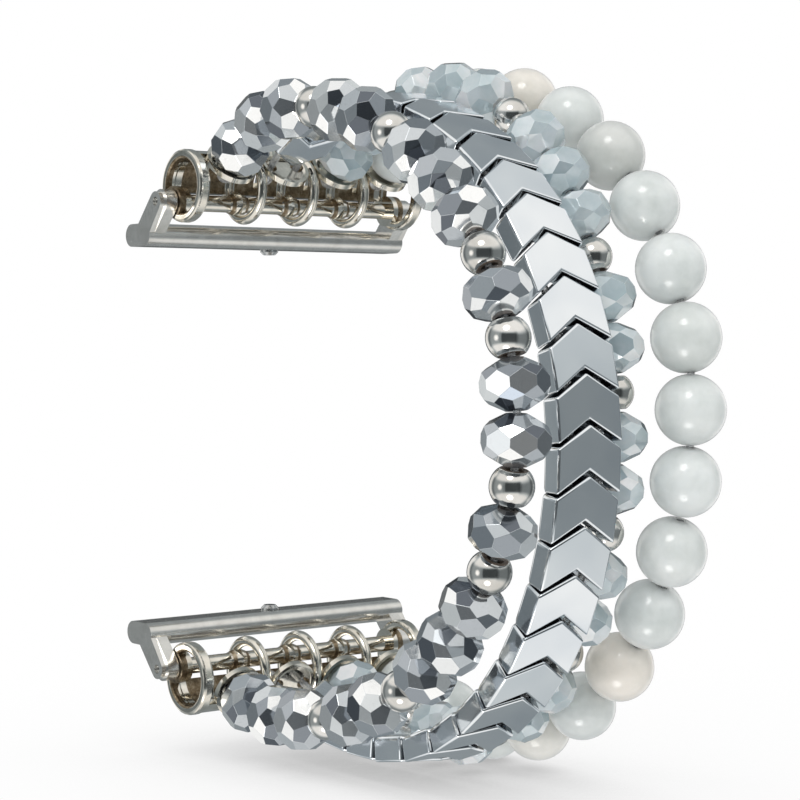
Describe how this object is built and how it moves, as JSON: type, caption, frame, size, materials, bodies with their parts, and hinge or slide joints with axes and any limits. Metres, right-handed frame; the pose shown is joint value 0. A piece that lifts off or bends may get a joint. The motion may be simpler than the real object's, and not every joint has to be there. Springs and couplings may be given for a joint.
{
  "type": "beaded watch band",
  "caption": "Multi-strand beaded bracelet band for a square watch: crystals, chevrons and moonstones on elastic cords between pivoting cast connectors with slide-in adapters.",
  "frame": {"origin": "middle of the upper adapter's slide, where it sits in the case's groove", "axes": "+X along the slide and the pins, across the band; +Y from the wrist side out to the case's face; +Z from the lower connector to the upper one"},
  "size_m": [0.0308, 0.0548, 0.0662],
  "materials": {
    "cast_nickel": "polished cast nickel alloy",
    "bright_steel": "bright drawn steel",
    "mirror_crystal": "silver-coated faceted glass",
    "silver_ball": "polished metal",
    "silver_chevron": "silver-plated, satin faces",
    "pale_crystal": "pale blue faceted opal glass",
    "moonstone": "milky polished stone",
    "elastic_cord": "clear elastic"
  },
  "bodies": {
    "upper_mount": {"upper_adapter": "cast_nickel", "upper_pin": "bright_steel", "upper_latch_spring": "bright_steel"},
    "upper_plunger": {"upper_latch": "bright_steel"},
    "section_1": {"upper_barrel": "cast_nickel", "upper_knots": "elastic_cord", "mirror_crystals_1": "mirror_crystal", "mirror_spacers_1": "silver_ball", "chevrons_1": "silver_chevron", "pale_crystals_1": "pale_crystal", "pale_spacers_1": "silver_ball", "moonstones_1": "moonstone", "cords_1": "elastic_cord"},
    "section_2": {"mirror_crystals_2": "mirror_crystal", "mirror_spacers_2": "silver_ball", "chevrons_2": "silver_chevron", "pale_crystals_2": "pale_crystal", "pale_spacers_2": "silver_ball", "moonstones_2": "moonstone", "cords_2": "elastic_cord"},
    "section_3": {"mirror_crystals_3": "mirror_crystal", "mirror_spacers_3": "silver_ball", "chevrons_3": "silver_chevron", "pale_crystals_3": "pale_crystal", "pale_spacers_3": "silver_ball", "moonstones_3": "moonstone", "cords_3": "elastic_cord"},
    "section_4": {"mirror_crystals_4": "mirror_crystal", "mirror_spacers_4": "silver_ball", "chevrons_4": "silver_chevron", "pale_crystals_4": "pale_crystal", "pale_spacers_4": "silver_ball", "moonstones_4": "moonstone", "cords_4": "elastic_cord"},
    "section_5": {"mirror_crystals_5": "mirror_crystal", "mirror_spacers_5": "silver_ball", "chevrons_5": "silver_chevron", "pale_crystals_5": "pale_crystal", "pale_spacers_5": "silver_ball", "moonstones_5": "moonstone", "cords_5": "elastic_cord", "lower_barrel": "cast_nickel", "lower_knots": "elastic_cord"},
    "lower_mount": {"lower_adapter": "cast_nickel", "lower_pin": "bright_steel", "lower_latch_spring": "bright_steel"},
    "lower_plunger": {"lower_latch": "bright_steel"}
  },
  "joints": [
    {"name": "upper_latch_travel", "type": "slide", "parent": "upper_mount", "child": "upper_plunger", "axis": [0, 0, 1], "range_m": [0, 0.0004], "stiffness_N_per_m": 300, "deforming": ["upper_latch_spring"]},
    {"name": "upper_pivot", "type": "hinge", "parent": "upper_mount", "child": "section_1", "pos_m": [0, -0.0032, 0.0031], "axis": [1, 0, 0], "range_deg": [-51, 26]},
    {"name": "bend_1", "type": "hinge", "parent": "section_1", "child": "section_2", "pos_m": [0, -0.0305, 0.01149], "axis": [-1, 0, 0], "range_deg": [-3, 14], "stiffness_Nm_per_rad": 0.15},
    {"name": "bend_2", "type": "hinge", "parent": "section_2", "child": "section_3", "pos_m": [0, -0.04466, -0.00084], "axis": [-1, 0, 0], "range_deg": [-3, 14], "stiffness_Nm_per_rad": 0.15},
    {"name": "bend_3", "type": "hinge", "parent": "section_3", "child": "section_4", "pos_m": [0, -0.04834, -0.02527], "axis": [-1, 0, 0], "range_deg": [-3, 14], "stiffness_Nm_per_rad": 0.15},
    {"name": "bend_4", "type": "hinge", "parent": "section_4", "child": "section_5", "pos_m": [0, -0.03327, -0.04551], "axis": [-1, 0, 0], "range_deg": [-3, 14], "stiffness_Nm_per_rad": 0.15},
    {"name": "lower_pivot", "type": "hinge", "parent": "section_5", "child": "lower_mount", "pos_m": [0, -0.0032, -0.0417], "axis": [1, 0, 0], "range_deg": [-71, 6]},
    {"name": "lower_latch_travel", "type": "slide", "parent": "lower_mount", "child": "lower_plunger", "axis": [0, 0, -1], "range_m": [0, 0.0004], "stiffness_N_per_m": 300, "deforming": ["lower_latch_spring"]}
  ]
}
